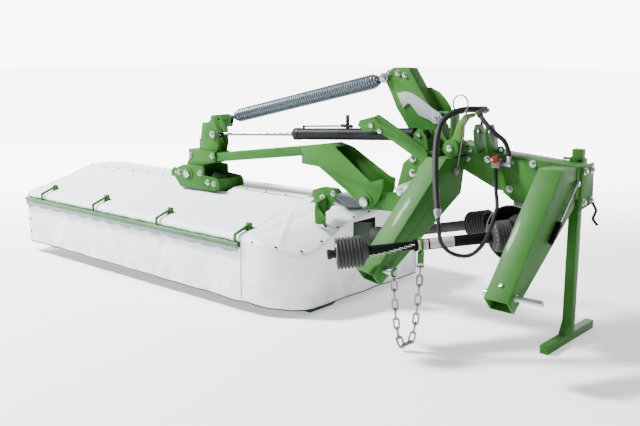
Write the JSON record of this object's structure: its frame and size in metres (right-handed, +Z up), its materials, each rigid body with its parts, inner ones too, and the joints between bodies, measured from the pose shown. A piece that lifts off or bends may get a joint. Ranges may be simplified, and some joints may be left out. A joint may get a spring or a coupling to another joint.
{
  "type": "disc mower conditioner",
  "caption": "Rear linkage disc mower with a tined conditioner: covered cutting deck hung on a folding arm with cylinder and relief spring, parked on skids and a stand.",
  "frame": {"origin": "middle of the machine's footprint, on the ground it is parked on", "axes": "+X across the machine from the far end of the cutting deck to the headstock, +Y away from the tractor, +Z up"},
  "size_m": [5.44, 1.9766, 1.852],
  "materials": {
    "green_paint": "gloss paint",
    "zinc": "zinc plated",
    "steel": "plain steel",
    "black_paint": "satin paint",
    "black_plastic": "moulded",
    "black_rubber": "matt",
    "tarpaulin": "coated cloth",
    "cast_iron": "rough",
    "chrome": "polished"
  },
  "bodies": {
    "headstock": {"cross_beam": "green_paint", "pivot_housing": "green_paint", "cylinder_pin": "zinc", "mast": "green_paint", "swing_boss": "green_paint", "lock_bar": "green_paint", "latch": "zinc", "leg_near": "green_paint", "leg_far": "green_paint", "lower_pins": "zinc", "locking_rods": "zinc", "end_plates": "green_paint", "top_link_lugs": "green_paint", "headstock_gearbox": "cast_iron", "drive_shaft": "black_plastic", "stand_sleeve": "green_paint", "hose_main": "black_rubber", "hose_lower": "black_rubber", "hose_short": "black_rubber", "hose_holder": "zinc", "valve": "zinc", "safety_chain": "zinc", "chain_eyes": "zinc"},
    "carrier": {"carrier_beam": "green_paint", "carrier_elbow": "green_paint", "yoke_saddle": "green_paint", "tower": "green_paint", "carrier_pins": "zinc"},
    "deck": {"cutter_bar": "steel", "skids": "steel", "deck_frame": "green_paint", "yoke_pin": "zinc", "conditioner_hood": "green_paint", "deck_gearbox": "cast_iron", "cover_top": "tarpaulin", "curtain_far": "tarpaulin", "curtain_rear": "tarpaulin", "cover_near": "tarpaulin", "deck_bracket": "green_paint", "guard_hinges": "green_paint"},
    "guard": {"guard_rail": "green_paint", "curtain_front": "tarpaulin"},
    "rotor": {"conditioner_rotor": "steel"},
    "barrel": {"cylinder_barrel": "black_paint", "barrel_pipe": "black_paint"},
    "rod": {"cylinder_rod": "chrome"},
    "spring": {"relief_spring": "zinc"},
    "deck_shaft": {"deck_shaft": "black_plastic"},
    "stand": {"parking_stand": "green_paint"},
    "disc_1": {"disc_1": "steel"},
    "disc_2": {"disc_2": "steel"},
    "disc_3": {"disc_3": "steel"},
    "disc_4": {"disc_4": "steel"},
    "disc_5": {"disc_5": "steel"},
    "disc_6": {"disc_6": "steel"},
    "disc_7": {"disc_7": "steel"},
    "disc_8": {"disc_8": "steel"}
  },
  "joints": [
    {"name": "fold", "type": "hinge", "parent": "headstock", "child": "carrier", "pos_m": [1.01, 0.00326, 0.865], "axis": [0, 1, 0], "range_deg": [0, 78]},
    {"name": "deck_tilt", "type": "hinge", "parent": "carrier", "child": "deck", "pos_m": [-0.94, 0.00326, 0.889], "axis": [0, 1, 0], "range_deg": [-5, 5]},
    {"name": "guard_lift", "type": "hinge", "parent": "deck", "child": "guard", "pos_m": [0.06, -0.56174, 0.66], "axis": [-1, 0, 0], "range_deg": [0, 90]},
    {"name": "rotor_spin", "type": "hinge", "parent": "deck", "child": "rotor", "pos_m": [-0.98, 0.22826, 0.385], "axis": [1, 0, 0], "continuous": true},
    {"name": "barrel_swing", "type": "hinge", "parent": "headstock", "child": "barrel", "pos_m": [1.46, 0.00326, 1.392], "axis": [0, 1, 0], "range_deg": [0, 74.91]},
    {"name": "rod_slide", "type": "slide", "parent": "barrel", "child": "rod", "axis": [0.9978, 0, 0.0661], "range_m": [0, 0.871]},
    {"name": "spring_swing", "type": "hinge", "parent": "headstock", "child": "spring", "pos_m": [1.035, 0.16326, 1.775], "axis": [0, 1, 0], "range_deg": [0, 109.97], "deforming": ["relief_spring"]},
    {"name": "deck_shaft_swing", "type": "hinge", "parent": "headstock", "child": "deck_shaft", "pos_m": [1.928, 0.20326, 0.788], "axis": [0, 1, 0], "range_deg": [0, 25.95]},
    {"name": "stand_lift", "type": "slide", "parent": "headstock", "child": "stand", "axis": [0, 0, 1], "range_m": [0, 0.55]},
    {"name": "disc_1_spin", "type": "hinge", "parent": "deck", "child": "disc_1", "pos_m": [-2.38, -0.32674, 0.11], "axis": [0, 0, 1], "continuous": true},
    {"name": "disc_2_spin", "type": "hinge", "parent": "deck", "child": "disc_2", "pos_m": [-1.98, -0.32674, 0.11], "axis": [0, 0, 1], "continuous": true},
    {"name": "disc_3_spin", "type": "hinge", "parent": "deck", "child": "disc_3", "pos_m": [-1.58, -0.32674, 0.11], "axis": [0, 0, 1], "continuous": true},
    {"name": "disc_4_spin", "type": "hinge", "parent": "deck", "child": "disc_4", "pos_m": [-1.18, -0.32674, 0.11], "axis": [0, 0, 1], "continuous": true},
    {"name": "disc_5_spin", "type": "hinge", "parent": "deck", "child": "disc_5", "pos_m": [-0.78, -0.32674, 0.11], "axis": [0, 0, 1], "continuous": true},
    {"name": "disc_6_spin", "type": "hinge", "parent": "deck", "child": "disc_6", "pos_m": [-0.38, -0.32674, 0.11], "axis": [0, 0, 1], "continuous": true},
    {"name": "disc_7_spin", "type": "hinge", "parent": "deck", "child": "disc_7", "pos_m": [0.02, -0.32674, 0.11], "axis": [0, 0, 1], "continuous": true},
    {"name": "disc_8_spin", "type": "hinge", "parent": "deck", "child": "disc_8", "pos_m": [0.42, -0.32674, 0.11], "axis": [0, 0, 1], "continuous": true}
  ],
  "couplings": [
    {"joint": "barrel_swing", "follows": "fold", "ratio": 0.95403},
    {"joint": "rod_slide", "follows": "fold", "m_per_rad": 0.63613},
    {"joint": "spring_swing", "follows": "fold", "ratio": 1.4034},
    {"joint": "deck_shaft_swing", "follows": "fold", "ratio": 0.32626},
    {"joint": "disc_2_spin", "follows": "disc_1_spin", "ratio": -1},
    {"joint": "disc_3_spin", "follows": "disc_1_spin", "ratio": 1},
    {"joint": "disc_4_spin", "follows": "disc_1_spin", "ratio": -1},
    {"joint": "disc_5_spin", "follows": "disc_1_spin", "ratio": 1},
    {"joint": "disc_6_spin", "follows": "disc_1_spin", "ratio": -1},
    {"joint": "disc_7_spin", "follows": "disc_1_spin", "ratio": 1},
    {"joint": "disc_8_spin", "follows": "disc_1_spin", "ratio": -1}
  ]
}
